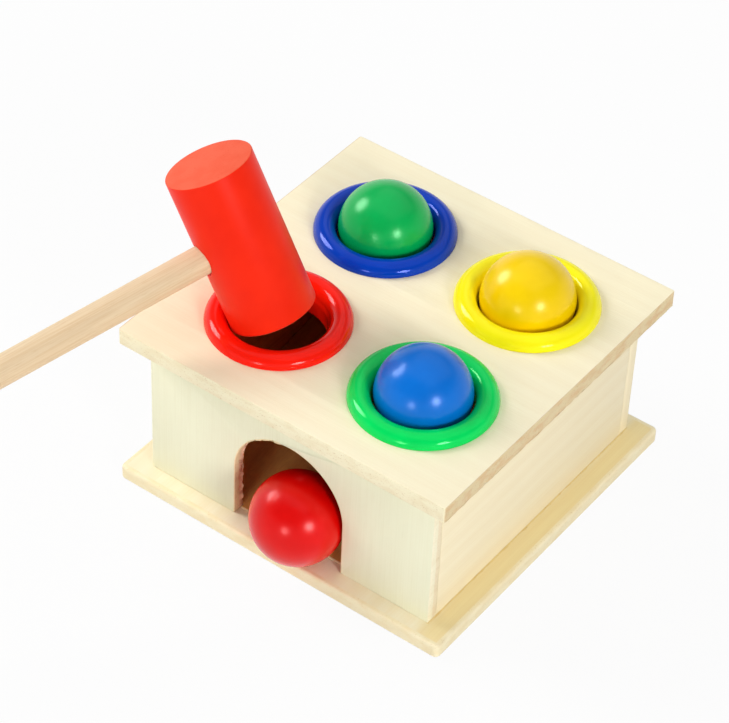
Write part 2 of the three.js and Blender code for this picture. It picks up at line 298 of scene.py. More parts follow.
wood_grain, given, result = start_group("wood_grain", GRAIN_INPUTS)
stretched = put(wood_grain, "Mapping", {"Vector": given["Vector"], "Scale": BAND_STRETCH}).outputs[0]
figure = put(wood_grain, "TexWave", {"Vector": stretched, **BANDS}, bands_direction="Y").outputs[1]
fibre = rise(wood_grain, noise(wood_grain, given["Vector"], FIBRE_SIZE, detail=3.0), *FIBRE_LEVELS)
pores = rise(wood_grain, noise(wood_grain, given["Vector"], PORE_SIZE, detail=1.0), *PORE_LEVELS)
tone = noise(wood_grain, given["Vector"], TONE_SIZE, detail=1.0)
dark = calc(wood_grain, "MULTIPLY", figure, given["Figure"])
dark = calc(wood_grain, "ADD", dark, calc(wood_grain, "MULTIPLY", fibre, given["Fibre"]))
dark = calc(wood_grain, "MULTIPLY", dark, calc(wood_grain, "ADD", tone, TONE_SHIFT))
dark = calc(wood_grain, "ADD", dark, calc(wood_grain, "MULTIPLY", pores, given["Fibre"]))
colour = mix_colours(wood_grain, dark, given["Pale"], given["Streak"])
rough = calc(wood_grain, "ADD", calc(wood_grain, "MULTIPLY", fibre, FIBRE_ROUGH), WOOD_ROUGH)
height = calc(wood_grain, "SUBTRACT", calc(wood_grain, "MULTIPLY", fibre, FIBRE_HEIGHT), pores)
end_group(wood_grain, result, colour, rough, height)

# %% [markdown]
# ## Cut edges
# Where a saw crosses the grain, the board shows the open ends of its fibres: browner, blotchy and
# dotted. Plywood also shows its layers there. This group draws faint layers across Z, blotches over
# them and small specks, and a board mixes it in where its own coordinates say that a cut face lies.

# %% Cut edge
SPECK = (0.4, 0.28, 0.16, 1)
CUT_INPUTS = {"Vector": Vector(), "Pale": PALE, "Streak": STREAK, "Speck": SPECK, "Blotch": 0.4}
LAYER_SIZE = (30, 30, 1.3)
LAYER_STRENGTH = 0.25
BLOTCH_SIZE = (6, 6, 2.5)
BLOTCH_LEVELS = (0.4, 0.66)
BLOTCH_HEIGHT = 0.3
DOT_SIZE = (0.6, 0.6, 0.4)
DOT_LEVELS = (0.6, 0.75)
DOT_STRENGTH = 0.6
DOT_ROUGH = 0.15
CUT_ROUGH = 0.68

cut_edge, given, result = start_group("cut_edge", CUT_INPUTS)
layers = noise(cut_edge, given["Vector"], LAYER_SIZE)
blotch = rise(cut_edge, noise(cut_edge, given["Vector"], BLOTCH_SIZE, detail=3.0), *BLOTCH_LEVELS)
dots = rise(cut_edge, noise(cut_edge, given["Vector"], DOT_SIZE), *DOT_LEVELS)
dark = calc(cut_edge, "MULTIPLY", blotch, given["Blotch"])
dark = calc(cut_edge, "ADD", dark, calc(cut_edge, "MULTIPLY", layers, LAYER_STRENGTH))
colour = mix_colours(cut_edge, dark, given["Pale"], given["Streak"])
colour = mix_colours(cut_edge, calc(cut_edge, "MULTIPLY", dots, DOT_STRENGTH), colour, given["Speck"])
rough = calc(cut_edge, "ADD", calc(cut_edge, "MULTIPLY", dots, DOT_ROUGH), CUT_ROUGH)
height = calc(cut_edge, "SUBTRACT", calc(cut_edge, "MULTIPLY", blotch, BLOTCH_HEIGHT), dots)
end_group(cut_edge, result, colour, rough, height)

# %% [markdown]
# ## The lid
# The lid is a square of plywood with crisp corners and four holes for the rings. It starts as a cube
# that is stretched between the corners of the lid's solid. Its upright edges are bevelled, cylinders
# are taken out of it, and a bevel modifier eases every sharp edge. The saw has torn fibres from the
# lower edge on the right, so the board is sliced, and the points of that edge are moved at random.

# %% Selecting and shaping
SMOOTH_ANGLE = math.radians(32)
UPRIGHT_WITHIN = 0.01 * MM


def select_only(piece):
    deselect_all()
    piece.select_set(True)
    bpy.context.view_layer.objects.active = piece


def pick(piece, kind="VERT", test=lambda part: True):
    """Goes into edit mode and selects the vertices, edges or faces that pass a test."""
    select_only(piece)
    bpy.ops.object.mode_set(mode="EDIT")
    bpy.ops.mesh.select_mode(type=kind)
    bpy.ops.mesh.select_all(action="DESELECT")
    mesh = bmesh.from_edit_mesh(piece.data)
    for part in {"VERT": mesh.verts, "EDGE": mesh.edges, "FACE": mesh.faces}[kind]:
        if test(part):
            part.select_set(True)
    mesh.select_flush_mode()
    bmesh.update_edit_mesh(piece.data)


def is_upright(edge):
    return (edge.verts[0].co - edge.verts[1].co).xy.length < UPRIGHT_WITHIN


def round_corners(board, radius, steps):
    pick(board, "EDGE", is_upright)
    bpy.ops.mesh.bevel(offset=radius, segments=steps, affect="EDGES")
    object_mode()


def apply_modifier(piece, kind, **settings):
    select_only(piece)
    bpy.ops.object.modifier_add(type=kind)
    modifier = piece.modifiers[-1]
    for name, value in settings.items():
        setattr(modifier, name, value)
    bpy.ops.object.modifier_apply(modifier=modifier.name)


def ease_edges(piece, radius, steps):
    """Rounds every edge that is sharper than the smoothing angle."""
    limits = {"limit_method": "ANGLE", "angle_limit": SMOOTH_ANGLE, "use_clamp_overlap": True}
    apply_modifier(piece, "BEVEL", width=radius, segments=steps, **limits)


# %% Cutting, tearing and finishing
WELD = 0.001 * MM


def new_board(name, low, high):
    """A cube stretched between two corners."""
    deselect_all()
    bpy.ops.mesh.primitive_cube_add(size=1, location=(low + high) / 2)
    board = bpy.context.active_object
    board.name = name
    board.scale = high - low
    bpy.ops.object.transform_apply(location=True, rotation=True, scale=True)
    return board


def take_out(piece, cutter):
    apply_modifier(piece, "BOOLEAN", operation="DIFFERENCE", solver="EXACT", object=cutter)
    bpy.data.objects.remove(cutter)


def drill_hole(board, middle, radius, depth, sides):
    """Takes an upright cylinder out of a board."""
    deselect_all()
    bpy.ops.mesh.primitive_cylinder_add(vertices=sides, radius=radius, depth=depth, location=middle)
    take_out(board, bpy.context.active_object)


def slice_across(piece, places, normal):
    """Cuts new edges into the whole piece on planes through these places."""
    pick(piece, "FACE")
    for place in places:
        bpy.ops.mesh.select_all(action="SELECT")
        bpy.ops.mesh.bisect(plane_co=place, plane_no=normal)
    object_mode()


def roughen(piece, test, amount, seed):
    """Moves the vertices that pass a test by a random step of up to this amount."""
    pick(piece, "VERT", test)
    bpy.ops.transform.vertex_random(offset=amount, uniform=0.6, seed=seed)
    object_mode()


def finish_piece(piece, body, node):
    """Welds and smooths a piece, puts it on its body and hides the solid that it stands for."""
    pick(piece)
    bpy.ops.mesh.remove_doubles(threshold=WELD)
    object_mode()
    bpy.ops.object.shade_smooth_by_angle(angle=SMOOTH_ANGLE)
    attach(piece, body)
    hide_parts(node)
    print(piece.name, len(piece.data.polygons), "faces on", body)


# %% Lid shape
LID_CORNER_RADIUS = 0.8 * MM
LID_CORNER_STEPS = 5
LID_EDGE_RADIUS = 0.5 * MM
LID_EDGE_STEPS = 3
LID_SLICE = 1.6 * MM
TEAR_WIDTH = 1.2 * LID_EDGE_RADIUS
TEAR_HEIGHT = 1.5 * LID_EDGE_RADIUS
TEAR_DEPTH = 0.2 * MM
RING_HOLE_RADIUS = 20.3 * MM
HOLE_SIDES = 96
CUT_OVERRUN = 2 * MM
RING_COLOURS = ("blue", "yellow", "green", "red")


def centre_of(node):
    low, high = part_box(node)
    return (low + high) / 2


lid_low, lid_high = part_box("top_plate")
lid = new_board("lid_board", lid_low, lid_high)
round_corners(lid, LID_CORNER_RADIUS, LID_CORNER_STEPS)
hole_depth = lid_high.z - lid_low.z + 2 * CUT_OVERRUN
for ring_colour in RING_COLOURS:
    hole = centre_of(f"{ring_colour}_ring")
    hole.z = (lid_low.z + lid_high.z) / 2
    drill_hole(lid, hole, RING_HOLE_RADIUS, hole_depth, HOLE_SIDES)
ease_edges(lid, LID_EDGE_RADIUS, LID_EDGE_STEPS)
slice_count = int((lid_high.y - lid_low.y) / LID_SLICE)
slices = [(0, lid_low.y + LID_SLICE * (i + 0.5), 0) for i in range(slice_count)]
slice_across(lid, slices, (0, 1, 0))


def on_torn_edge(vertex):
    return vertex.co.x > lid_high.x - TEAR_WIDTH and vertex.co.z < lid_low.z + TEAR_HEIGHT


roughen(lid, on_torn_edge, TEAR_DEPTH, seed=4)
finish_piece(lid, "box", "top_plate")

# %% [markdown]
# ## From a group to a surface
# A group is placed in a material with the board's own values, and a mask mixes two finishes where a
# face changes. Masks read the piece's own coordinates in millimetres, so they stay in place when it
# moves. A number that is the same all over is set on the shader's own socket.

# %% Putting a finish on a piece
BUMP_DEPTH = 0.12 * MM
WOOD_BUMP = 0.3
WOOD_SHINE = 0.2


def shade(red, green, blue):
    """A display colour from 0 to 255 as the linear colour that a shader takes."""
    parts = [part / 255 for part in (red, green, blue)]
    return (*[p / 12.92 if p <= 0.04045 else ((p + 0.055) / 1.055) ** 2.4 for p in parts], 1)


def millimetres(tree, origin=(0, 0, 0), turn=(0, 0, 0)):
    """The piece's coordinates in millimetres, from an origin and along turned axes."""
    on_piece = put(tree, "TexCoord", {}).outputs["Object"]
    settings = {"Vector": on_piece, "Location": origin, "Rotation": turn, "Scale": (MM, MM, MM)}
    return put(tree, "Mapping", settings, vector_type="TEXTURE").outputs[0]


def split(tree, vector):
    return put(tree, "SeparateXYZ", {0: vector}).outputs


def use_group(tree, group, inputs):
    made = put(tree, "Group", inputs, node_tree=group)
    return {name: made.outputs[name] for name in FINISH_OUTPUTS}


def grain_finish(tree, vector, pale, streak, figure, fibre):
    """Wood with two display colours, and the strength of its bands and of its fibres."""
    colours = {"Pale": shade(*pale), "Streak": shade(*streak)}
    return use_group(tree, wood_grain, {"Vector": vector, "Figure": figure, "Fibre": fibre, **colours})


def cut_finish(tree, vector, pale, streak, speck, blotch):
    """A cut edge with three display colours, and the strength of its blotches."""
    colours = {"Pale": shade(*pale), "Streak": shade(*streak), "Speck": shade(*speck)}
    return use_group(tree, cut_edge, {"Vector": vector, "Blotch": blotch, **colours})


def mix_finish(tree, share, first, second):
    """Two finishes mixed by a mask: colour, roughness and height together."""
    mixed = {"Color": mix_colours(tree, share, first["Color"], second["Color"])}
    for name in ("Roughness", "Height"):
        mixed[name] = put(tree, "Mix", {0: share, 2: first[name], 3: second[name]}).outputs[0]
    return mixed


def surface(tree, finish, bump, **constants):
    """The finish on a Principled surface, with its height as a bump."""
    relief = {"Height": finish["Height"], "Strength": bump, "Distance": BUMP_DEPTH}
    normal = put(tree, "Bump", relief).outputs[0]
    inputs = {"Base Color": finish["Color"], "Roughness": finish["Roughness"], "Normal": normal}
    inputs.update({name.replace("_", " "): value for name, value in constants.items()})
    put(tree, "OutputMaterial", {"Surface": put(tree, "BsdfPrincipled", inputs).outputs[0]})


def wood_surface(tree, finish, bump=WOOD_BUMP):
    surface(tree, finish, bump, Specular_IOR_Level=WOOD_SHINE)


def outside(tree, coordinate, limit, softness=0.3):
    """1 where a coordinate lies further than the limit from zero, on either side."""
    return rise(tree, calc(tree, "ABSOLUTE", coordinate), limit, limit + softness)


def below(tree, value, limit, softness=0.2):
    """1 up to a limit, and 0 from a little above it."""
    return rise(tree, value, limit + softness, limit)


# %% [markdown]
# The lid's grain runs from left to right. So its left and right faces are end grain, which is browner,
# and the front and back faces are pale like the top. The faces that look into the box were never
# sanded, and stay brown; that deep brown is also painted shade for the dim inside of the box.

# %% Lid finish
LID_FACE = ((252, 243, 211), (230, 208, 164), 0.07, 0.09)
LID_LONG_EDGE = ((250, 242, 210), (234, 216, 174), (206, 178, 130), 0.3)
LID_END_EDGE = ((228, 211, 170), (220, 184, 138), (186, 150, 102), 0.6)
# The brown below is never-sanded wood and painted shade: it darkens every face inside the box.
UNSANDED_AND_SHADE = ((238, 138, 62), (198, 102, 40), 0.25, 0.25)
RIM = 0.35
SKIN = 0.1
room = (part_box("right_wall")[0].x / MM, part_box("back_wall")[0].y / MM)


def within_walls(tree, axes):
    """1 between the inner faces of the four walls, and 0 outside."""
    past_wall = [outside(tree, axes[i], room[i], SKIN) for i in range(2)]
    return calc(tree, "SUBTRACT", 1.0, calc(tree, "MAXIMUM", *past_wall))


tree = new_material(lid, "lid_basswood")
spot = millimetres(tree)
axes = split(tree, spot)
face = grain_finish(tree, spot, *LID_FACE)
long_edge = cut_finish(tree, spot, *LID_LONG_EDGE)
end_edge = cut_finish(tree, spot, *LID_END_EDGE)
whole = mix_finish(tree, outside(tree, axes[1], lid_high.y / MM - RIM), face, long_edge)
whole = mix_finish(tree, outside(tree, axes[0], lid_high.x / MM - RIM), whole, end_edge)
underside = below(tree, axes[2], lid_low.z / MM + SKIN, SKIN)
unsanded_and_shade = calc(tree, "MULTIPLY", underside, within_walls(tree, axes))
# Painted shade: the lid's underside inside the walls gets the deep brown.
whole = mix_finish(tree, unsanded_and_shade, whole, grain_finish(tree, spot, *UNSANDED_AND_SHADE))
wood_surface(tree, whole)

# %% [markdown]
# ## The foot
# The foot is a board that stands out all round. Its corners and its edge are rounded by sanding, more
# than the lid's, so its bevel is larger and has more steps. Eight small brads come up through it, and
# each has a recess below.

# %% Foot shape
FOOT_CORNER_RADIUS = 2.0 * MM
FOOT_CORNER_STEPS = 8
FOOT_EDGE_RADIUS = 0.9 * MM
FOOT_EDGE_STEPS = 6
BRAD_RECESS_RADIUS = 1.25 * MM
BRAD_RECESS_DEPTH = 1.4 * MM
BRAD_SIDES = 24
BRADS = [f"base_brad_{number}" for number in range(1, 9)]

foot_low, foot_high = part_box("base_plate")
foot = new_board("foot_board", foot_low, foot_high)
round_corners(foot, FOOT_CORNER_RADIUS, FOOT_CORNER_STEPS)
ease_edges(foot, FOOT_EDGE_RADIUS, FOOT_EDGE_STEPS)
for brad in BRADS:
    hole = centre_of(brad)
    hole.z = foot_low.z
    drill_hole(foot, hole, BRAD_RECESS_RADIUS, 2 * BRAD_RECESS_DEPTH, BRAD_SIDES)
finish_piece(foot, "box", "base_plate")

# %% [markdown]
# The foot is golden along its right border: painted light, for the warm light that the right wall
# throws back onto it and the shade beside that wall. Its rounded rim was sanded paler. Some glue was
# pressed
# out of the joint with the right wall, and dried there as a thin line of uneven width, with a few brown
# specks. A noise makes the border wander, and another sets the width of the glue.

# %% Foot finish
ALONG_Y = (0, 0, math.pi / 2)
FOOT_GRAIN_ORIGIN = (0.04, 0.01, 0.02)
FOOT_FACE = ((249, 240, 211), (238, 217, 168), 0.14, 0.14)
# The golden colour below is painted light: the right wall's warm bounce and shade on the foot.
FOOT_WALL_BOUNCE = ((246, 228, 174), (232, 206, 144), 0.2, 0.2)
FOOT_RIM = ((250, 239, 205), (240, 219, 171), (224, 200, 150), 0.35)
FOOT_GLUE = ((242, 220, 158), (228, 198, 132), (186, 146, 84), 0.6)
WALL_BOUNCE_BORDER = (56.0, 62.0)
BORDER_SPOTS = (30, 5, 5)
BORDER_WANDER = 5.0
GLUE_SPOTS = (3, 1, 1)
GLUE_WIDTH = 1.5
GLUE_EDGE = (0.1, 0.5)
FOOT_RIM_WIDTH = 2.0
RIM_SOFTNESS = 0.6

tree = new_material(foot, "foot_basswood")
spot = millimetres(tree, origin=FOOT_GRAIN_ORIGIN, turn=ALONG_Y)
axes = split(tree, millimetres(tree))
face = grain_finish(tree, spot, *FOOT_FACE)
wall_bounce = grain_finish(tree, spot, *FOOT_WALL_BOUNCE)
rim = cut_finish(tree, spot, *FOOT_RIM)
glue = cut_finish(tree, spot, *FOOT_GLUE)
wander = calc(tree, "MULTIPLY", noise(tree, spot, BORDER_SPOTS), BORDER_WANDER)
# Mask for the golden painted light along the right wall.
in_wall_bounce = rise(tree, calc(tree, "ADD", axes[0], wander), *WALL_BOUNCE_BORDER)
whole = mix_finish(tree, in_wall_bounce, face, wall_bounce)
from_wall = calc(tree, "ABSOLUTE", calc(tree, "SUBTRACT", axes[0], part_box("right_wall")[1].x / MM))
glue_width = calc(tree, "MULTIPLY", noise(tree, spot, GLUE_SPOTS, detail=3.0), GLUE_WIDTH)
on_glue = rise(tree, calc(tree, "SUBTRACT", glue_width, from_wall), *GLUE_EDGE)
beside_wall = calc(tree, "SUBTRACT", 1.0, outside(tree, axes[1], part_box("back_wall")[1].y / MM))
whole = mix_finish(tree, calc(tree, "MULTIPLY", on_glue, beside_wall), whole, glue)
inside_rim = [foot_high[i] / MM - FOOT_RIM_WIDTH for i in range(2)]
past_rim = [outside(tree, axes[i], inside_rim[i], RIM_SOFTNESS) for i in range(2)]
whole = mix_finish(tree, calc(tree, "MAXIMUM", *past_rim), whole, rim)
wood_surface(tree, whole)

# %% [markdown]
# ## The wall with the arch
# The front wall covers the ends of the side walls, and has an arch that is open at the bottom. It could
# be a board with a hole cut in it, but drawing its outline keeps the arch's points where the torn edge
# needs them. One vertex is extruded round the outline, the outline is filled, and the face is pulled
# out to the wall's thickness. The saw tore the inner half of the arch, and chipped the outer edge at
# the upper left. So the wall is sliced in its thickness, and the points there are roughened.

# %% Drawing an outline
def turns(angle, steps, start=0.0):
    """Evenly spaced angles, with both ends."""
    return [start + angle * i / steps for i in range(steps + 1)]


def draw_outline(name, points):
    """A chain of edges, drawn by extruding one vertex from point to point."""
    deselect_all()
    bpy.ops.mesh.primitive_plane_add(size=MM)
    piece = bpy.context.active_object
    piece.name = name
    bpy.ops.object.mode_set(mode="EDIT")
    bpy.ops.mesh.select_mode(type="VERT")
    bpy.ops.mesh.select_all(action="SELECT")
    bpy.ops.mesh.merge(type="CENTER")
    bpy.ops.transform.translate(value=points[0])
    for here, there in zip(points, points[1:]):
        bpy.ops.mesh.extrude_region_move(TRANSFORM_OT_translate={"value": there - here})
    object_mode()
    return piece


def pull_out(piece, step):
    """Closes an outline, fills it and pulls the face out into a solid."""
    pick(piece)
    bpy.ops.mesh.remove_doubles(threshold=WELD)
    bpy.ops.mesh.edge_face_add()
    bpy.ops.mesh.extrude_region_move(TRANSFORM_OT_translate={"value": step})
    bpy.ops.mesh.select_all(action="SELECT")
    bpy.ops.mesh.normals_make_consistent(inside=False)
    object_mode()


# %% Arch wall shape
ARCH_RADIUS = 22.0 * MM
ARCH_HEIGHT = 43.0 * MM
ARCH_STEPS = 84
JAMB_STEPS = 24
WALL_EDGE_RADIUS = 0.22 * MM
WALL_EDGE_STEPS = 2
WALL_SLICES = (0.5, 0.66, 0.82)
TORN_FROM = 0.6
CHIPPED_LEFT_OF = -2 * MM
CHIPPED_ABOVE = 0.6 * ARCH_RADIUS
WHOLE_FOOT = 2 * MM
ARCH_TEAR_DEPTH = 0.45 * MM

front_low, front_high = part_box("front_wall")
wall_thickness = front_high.y - front_low.y
springing = front_low.z + ARCH_HEIGHT - ARCH_RADIUS
jamb = [front_low.z + (springing - front_low.z) * i / JAMB_STEPS for i in range(JAMB_STEPS)]
outline = [(front_low.x, front_low.z)]
outline += [(-ARCH_RADIUS, z) for z in jamb]
for t in turns(math.pi, ARCH_STEPS):
    outline.append((-ARCH_RADIUS * math.cos(t), springing + ARCH_RADIUS * math.sin(t)))
outline += [(ARCH_RADIUS, z) for z in reversed(jamb)]
outline += [(front_high.x, front_low.z), (front_high.x, front_high.z)]
outline += [(front_low.x, front_high.z), outline[0]]
arch_wall = draw_outline("arch_wall", [Vector((x, front_low.y, z)) for x, z in outline])
pull_out(arch_wall, Vector((0, wall_thickness, 0)))
ease_edges(arch_wall, WALL_EDGE_RADIUS, WALL_EDGE_STEPS)
slices = [(0, front_low.y + wall_thickness * part, 0) for part in WALL_SLICES]
slice_across(arch_wall, slices, (0, 1, 0))


def on_torn_arch(vertex):
    above = max(vertex.co.z - springing, 0)
    on_arch = math.hypot(vertex.co.x, above) < ARCH_RADIUS + 2 * WALL_EDGE_RADIUS
    inner = vertex.co.y > front_low.y + TORN_FROM * wall_thickness
    chipped = vertex.co.x < CHIPPED_LEFT_OF and above > CHIPPED_ABOVE
    return on_arch and (inner or chipped) and vertex.co.z > front_low.z + WHOLE_FOOT


roughen(arch_wall, on_torn_arch, ARCH_TEAR_DEPTH, seed=11)
finish_piece(arch_wall, "box", "front_wall")

# %% [markdown]
# The wall's grain stands upright, and its cool tint is painted light for the cooler light in front. Its
# ends and the arch are cut faces, which show that the wall has a pale outer layer and a browner inner
# one.
# In the arch, the inner layer is torn, and its pink is partly painted light: the red that the red ball
# throws onto the jamb. A distance finds the arch: it is measured from the arch's centre in the round
# part, and from its middle line below, so one formula follows the whole opening.

# %% Arch wall finish
ALONG_Z = (0, -math.pi / 2, 0)
ARCH_GRAIN_ORIGIN = (0.013, 0, 0)
# The cool tint of the wall's face below is painted light: the cooler light that falls on the front.
ARCH_FACE_COOL_LIGHT = ((244, 243, 214), (225, 218, 182), 0.1, 0.12)
ARCH_CLEAN = ((250, 230, 186), (236, 208, 158), (200, 164, 112), 0.4)
# The torn layer's pink below is partly painted light: the red ball's bounce on the jamb.
ARCH_TORN_AND_RED_BOUNCE = ((250, 214, 180), (236, 186, 150), (160, 106, 74), 0.6)
OUTER_END = ((251, 244, 216), (240, 226, 190), (222, 204, 164), 0.3)
INNER_END = ((246, 232, 200), (232, 212, 174), (206, 178, 136), 0.4)
INNER_LAYER = (2.6, 3.0)
LAYER_WANDER = (1.5, 1.5, 3.0)
CUT_SKIN = 0.3

tree = new_material(arch_wall, "arch_wall_basswood")
spot = millimetres(tree)
axes = split(tree, spot)
upright = millimetres(tree, origin=ARCH_GRAIN_ORIGIN, turn=ALONG_Z)
face = grain_finish(tree, upright, *ARCH_FACE_COOL_LIGHT)
clean = cut_finish(tree, spot, *ARCH_CLEAN)
torn_and_red_bounce = cut_finish(tree, spot, *ARCH_TORN_AND_RED_BOUNCE)
outer_end = cut_finish(tree, spot, *OUTER_END)
inner_end = cut_finish(tree, spot, *INNER_END)
above = calc(tree, "MAXIMUM", calc(tree, "SUBTRACT", axes[2], springing / MM), 0.0)
squares = [calc(tree, "MULTIPLY", part, part) for part in (axes[0], above)]
reach = calc(tree, "SQRT", calc(tree, "ADD", *squares))
in_arch = below(tree, reach, ARCH_RADIUS / MM + CUT_SKIN)
depth = calc(tree, "ADD", axes[1], noise(tree, spot, LAYER_WANDER))
inner_half = rise(tree, depth, *[front_low.y / MM + part for part in INNER_LAYER])
at_ends = outside(tree, axes[0], front_high.x / MM - RIM)
whole = mix_finish(tree, at_ends, face, mix_finish(tree, inner_half, outer_end, inner_end))
# The arch's inner half gets the torn finish with its painted red bounce.
whole = mix_finish(tree, in_arch, whole, mix_finish(tree, inner_half, clean, torn_and_red_bounce))
# Painted shade: the wall's inner face gets the deep brown.
whole = mix_finish(tree, within_walls(tree, axes), whole, grain_finish(tree, upright, *UNSANDED_AND_SHADE))
wood_surface(tree, whole)

# %% [markdown]
# ## The other walls
# The back wall is a plain board like the front one, and the side walls stand between the two. Each wall
# is a stretched cube with eased edges. The eased edges make the fine joint line that shows near each
# corner of the box.

# %% Other walls
def plain_wall(name, node):
    wall = new_board(name, *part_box(node))
    ease_edges(wall, WALL_EDGE_RADIUS, WALL_EDGE_STEPS)
    finish_piece(wall, "box", node)
    return wall


rear_wall = plain_wall("rear_wall", "back_wall")
side_walls = {}
for side in ("right", "left"):
    side_walls[side] = plain_wall(f"{side}_side_wall", f"{side}_wall")

# %% [markdown]
# The back wall's grain stands upright, as in front, and it shares the front's cool tint. The side walls
# get a warmer tint, which is painted light for the warm light that falls on them, and their grain lies
# flat. One material could serve both of them, but each wall reads the grain from a place of its own, so
# that no streak shows twice. What looks into the box gets the deep brown with its painted shade.

# %% Finish of the other walls
REAR_GRAIN_ORIGIN = (0.09, 0, 0)
# Painted light: the back wall's cool tint and the side walls' warm tint stand for the light on them.
REAR_FACE_COOL_LIGHT = ((243, 243, 220), (222, 213, 180), 0.12, 0.14)
SIDE_FACE_WARM_LIGHT = ((249, 237, 204), (234, 212, 168), 0.12, 0.12)
SIDE_GRAIN_ORIGINS = {"right": (0, 0.03, 0.05), "left": (0, 0.11, 0.2)}
FLAT_ALONG_Y = (math.pi / 2, 0, math.pi / 2)

tree = new_material(rear_wall, "rear_wall_basswood")
grain = millimetres(tree, origin=REAR_GRAIN_ORIGIN, turn=ALONG_Z)
axes = split(tree, millimetres(tree))
face = grain_finish(tree, grain, *REAR_FACE_COOL_LIGHT)
at_ends = outside(tree, axes[0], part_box("back_wall")[1].x / MM - RIM)
whole = mix_finish(tree, at_ends, face, grain_finish(tree, grain, *SIDE_FACE_WARM_LIGHT))
# Painted shade: the back wall's inner face gets the deep brown.
whole = mix_finish(tree, within_walls(tree, axes), whole, grain_finish(tree, grain, *UNSANDED_AND_SHADE))
wood_surface(tree, whole)

for side, wall in side_walls.items():
    tree = new_material(wall, f"{wall.name}_basswood")
    grain = millimetres(tree, origin=SIDE_GRAIN_ORIGINS[side], turn=FLAT_ALONG_Y)
    hidden = within_walls(tree, split(tree, millimetres(tree)))
    # Painted light: the side wall's warm tint.
    face = grain_finish(tree, grain, *SIDE_FACE_WARM_LIGHT)
    # Painted shade: the side wall's inner face gets the deep brown.
    wood_surface(tree, mix_finish(tree, hidden, face, grain_finish(tree, grain, *UNSANDED_AND_SHADE)))

# %% [markdown]
# ## The ramp and its cleat
# The ramp is a thin sheet of plywood that slopes to the arch, and a cleat holds its back edge up. The
# roll of the red ball gives the slope. The ramp's section is drawn as an outline and pulled across the
# box. A tongue as wide as the arch reaches out between the jambs, so the front corners are cut away
# beside it.

# %% Ramp shape
RAMP_THICKNESS = 3.0 * MM
RAMP_EDGE_RADIUS = 0.25 * MM
TONGUE_HALF_WIDTH = 21.7 * MM
RAMP_SHOULDER = -53.45 * MM
SHOULDER_CUT_HEIGHT = 10 * MM

roll = next(joint for joint in frame["joints"] if joint["name"] == "red_ball_roll")
slope = roll["axis"][2] / roll["axis"][1]
ramp_low, ramp_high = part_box("ramp_board")
under_drop = RAMP_THICKNESS * math.sqrt(1 + slope * slope)


def ramp_top(y):
    return ramp_high.z - (ramp_high.y - y) * slope


def across_box(name, low_x, high_x, section):
    """A strip with a section of [y, z] points, pulled along X."""
    points = [Vector((low_x, y, z)) for y, z in [*section, section[0]]]
    strip = draw_outline(name, points)
    pull_out(strip, Vector((high_x - low_x, 0, 0)))
    return strip


foot_y = ramp_high.y - (ramp_high.z - under_drop - ramp_low.z) / slope
ramp_section = [
    (ramp_low.y, ramp_low.z),
    (foot_y, ramp_low.z),
    (ramp_high.y, ramp_high.z - under_drop),
    (ramp_high.y, ramp_high.z),
    (ramp_low.y, ramp_top(ramp_low.y)),
]
ramp = across_box("ramp_ply", ramp_low.x, ramp_high.x, ramp_section)
for side in (-1, 1):
    inner = Vector((side * TONGUE_HALF_WIDTH, ramp_low.y - CUT_OVERRUN, ramp_low.z - CUT_OVERRUN))
    outer = Vector((side * (ramp_high.x + CUT_OVERRUN), RAMP_SHOULDER, ramp_low.z + SHOULDER_CUT_HEIGHT))
    low = Vector(map(min, inner, outer))
    high = Vector(map(max, inner, outer))
    take_out(ramp, new_board("shoulder_cut", low, high))
ease_edges(ramp, RAMP_EDGE_RADIUS, WALL_EDGE_STEPS)
finish_piece(ramp, "box", "ramp_board")

# %% Cleat shape
CLEAT_GAP = 0.3 * MM

low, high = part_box("ramp_cleat")
cleat_section = [
    (low.y, low.z),
    (high.y, low.z),
    (high.y, ramp_top(high.y) - under_drop - CLEAT_GAP),
    (low.y, ramp_top(low.y) - under_drop - CLEAT_GAP),
]
cleat = across_box("cleat_strip", low.x, high.x, cleat_section)
ease_edges(cleat, RAMP_EDGE_RADIUS, WALL_EDGE_STEPS)
finish_piece(cleat, "box", "ramp_cleat")

# %% [markdown]
# The ramp and the cleat are bare wood, so they are browner than the outside and show more fibres,
# and their deep brown is also painted shade for the dim inside of the box. Only the ramp's front edge
# comes into the light in the arch: it is a cut face, and paler.

# %% Ramp and cleat finish
# The ramp's face colour is bare wood and painted shade for the box's dim inside.
RAMP_FACE_AND_SHADE = ((228, 168, 92), (194, 132, 66), 0.25, 0.25)
RAMP_FRONT = ((248, 228, 184), (214, 178, 128), (170, 128, 82), 0.4)
BARE_BUMP = 0.4

for piece in (ramp, cleat):
    tree = new_material(piece, f"{piece.name}_wood")
    spot = millimetres(tree)
    face = grain_finish(tree, millimetres(tree, turn=ALONG_Y), *RAMP_FACE_AND_SHADE)
    front = cut_finish(tree, spot, *RAMP_FRONT)
    at_front = below(tree, split(tree, spot)[1], ramp_low.y / MM + CUT_SKIN)
    # Painted shade: the ramp's and cleat's faces carry the darkened brown.
    wood_surface(tree, mix_finish(tree, at_front, face, front), BARE_BUMP)

# %% [markdown]
# ## A thin skin of paint or plastic
# Gloss paint and moulded plastic are both smooth, but never perfect: the colour is a little uneven, and
# the surface has a faint orange peel that breaks up a highlight. One group holds both, and each finish
# chooses how uneven and how rough it is. In the picture the gloss leans towards the colour below it, so
# each shader gets a tinted gloss as a fixed colour.

# %% Coloured skin
GLOSS_LEVEL = 0.5
GLOSS_UNEVEN = 0.3
SKIN_INPUTS = {"Vector": Vector(), "Colour": PALE, "Thin Colour": STREAK, "Rough": 0.2, "Uneven": 0.3}
CLOUD_SIZE = (9, 9, 9)
CLOUD_LEVELS = (0.3, 0.75)
PEEL_SIZE = (1.1, 1.1, 1.1)
PEEL_ROUGH = 0.05
PEEL_HEIGHT = 0.25

